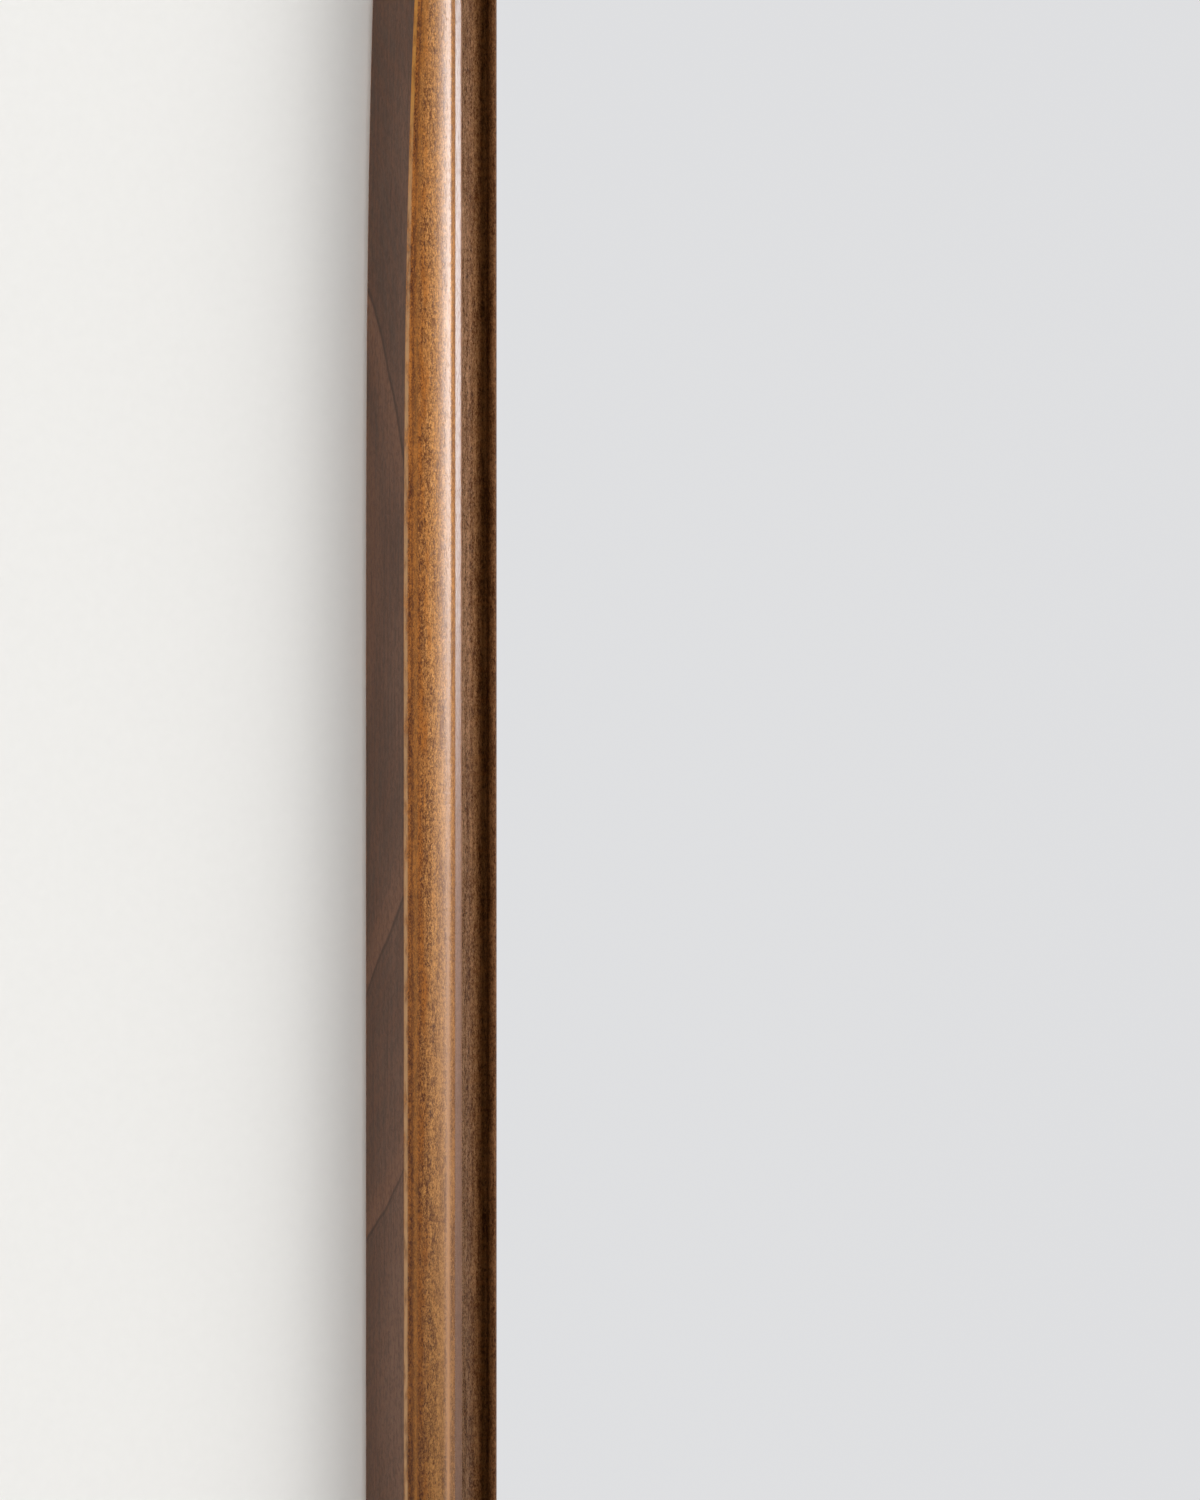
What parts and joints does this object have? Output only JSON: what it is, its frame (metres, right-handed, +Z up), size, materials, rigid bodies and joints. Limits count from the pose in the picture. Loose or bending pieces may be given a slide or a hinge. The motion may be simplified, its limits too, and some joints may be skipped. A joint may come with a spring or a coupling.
{
  "type": "wall mirror",
  "caption": "Rectangular wall mirror in a mitred walnut moulding with eased outer sides, held by turn buttons at the back and hung on bevelled cleats.",
  "frame": {"origin": "middle of the wall cleat's line of two holes, on the wall plane", "axes": "+Z up, +X to the right as seen from the front, +Y into the wall; the mirror faces -Y"},
  "size_m": [0.61, 0.032, 0.914],
  "materials": {
    "walnut": "walnut stain under clear satin lacquer",
    "beech": "planed",
    "steel": "zinc plated",
    "silvered_glass": "silvered float glass",
    "rubber": "matt",
    "foam": "closed-cell foam",
    "hardboard": "smooth face",
    "brass": "brass plated"
  },
  "bodies": {
    "wall_cleat": {"wall_cleat": "beech"},
    "mirror": {"stile_left": "walnut", "stile_right": "walnut", "rail_top": "walnut", "rail_bottom": "walnut", "tenon_top_left": "beech", "tenon_top_right": "beech", "tenon_bottom_left": "beech", "tenon_bottom_right": "beech", "corner_plate_top_left": "steel", "corner_plate_top_right": "steel", "corner_plate_bottom_left": "steel", "corner_plate_bottom_right": "steel", "corner_plate_screws": "steel", "mirror_glass": "silvered_glass", "setting_blocks": "rubber", "side_spacers": "rubber", "foam_sheet": "foam", "backing_board": "hardboard", "turn_button_screws": "brass", "hanger_cleat": "beech", "hanger_cleat_screws": "steel", "bumper_left": "rubber", "bumper_right": "rubber"},
    "turn_button_left_top": {"turn_button_left_top": "brass"},
    "turn_button_left_middle": {"turn_button_left_middle": "brass"},
    "turn_button_left_bottom": {"turn_button_left_bottom": "brass"},
    "turn_button_right_top": {"turn_button_right_top": "brass"},
    "turn_button_right_middle": {"turn_button_right_middle": "brass"},
    "turn_button_right_bottom": {"turn_button_right_bottom": "brass"},
    "turn_button_top_left": {"turn_button_top_left": "brass"},
    "turn_button_top_right": {"turn_button_top_right": "brass"},
    "turn_button_bottom_left": {"turn_button_bottom_left": "brass"},
    "turn_button_bottom_right": {"turn_button_bottom_right": "brass"}
  },
  "joints": [
    {"name": "lift_off", "type": "slide", "parent": "wall_cleat", "child": "mirror", "axis": [0, 0, 1], "range_m": [0, 0.03]},
    {"name": "turn_button_left_top_pivot", "type": "hinge", "parent": "mirror", "child": "turn_button_left_top", "pos_m": [-0.282, -0.00765, -0.097], "axis": [0, 1, 0], "range_deg": [-90, 90]},
    {"name": "turn_button_left_middle_pivot", "type": "hinge", "parent": "mirror", "child": "turn_button_left_middle", "pos_m": [-0.282, -0.00765, -0.397], "axis": [0, 1, 0], "range_deg": [-90, 90]},
    {"name": "turn_button_left_bottom_pivot", "type": "hinge", "parent": "mirror", "child": "turn_button_left_bottom", "pos_m": [-0.282, -0.00765, -0.697], "axis": [0, 1, 0], "range_deg": [-90, 90]},
    {"name": "turn_button_right_top_pivot", "type": "hinge", "parent": "mirror", "child": "turn_button_right_top", "pos_m": [0.282, -0.00765, -0.097], "axis": [0, 1, 0], "range_deg": [-90, 90]},
    {"name": "turn_button_right_middle_pivot", "type": "hinge", "parent": "mirror", "child": "turn_button_right_middle", "pos_m": [0.282, -0.00765, -0.397], "axis": [0, 1, 0], "range_deg": [-90, 90]},
    {"name": "turn_button_right_bottom_pivot", "type": "hinge", "parent": "mirror", "child": "turn_button_right_bottom", "pos_m": [0.282, -0.00765, -0.697], "axis": [0, 1, 0], "range_deg": [-90, 90]},
    {"name": "turn_button_top_left_pivot", "type": "hinge", "parent": "mirror", "child": "turn_button_top_left", "pos_m": [-0.258, -0.00765, 0.037], "axis": [0, 1, 0], "range_deg": [-90, 90]},
    {"name": "turn_button_top_right_pivot", "type": "hinge", "parent": "mirror", "child": "turn_button_top_right", "pos_m": [0.258, -0.00765, 0.037], "axis": [0, 1, 0], "range_deg": [-90, 90]},
    {"name": "turn_button_bottom_left_pivot", "type": "hinge", "parent": "mirror", "child": "turn_button_bottom_left", "pos_m": [-0.15, -0.00765, -0.831], "axis": [0, 1, 0], "range_deg": [-90, 90]},
    {"name": "turn_button_bottom_right_pivot", "type": "hinge", "parent": "mirror", "child": "turn_button_bottom_right", "pos_m": [0.15, -0.00765, -0.831], "axis": [0, 1, 0], "range_deg": [-90, 90]}
  ]
}
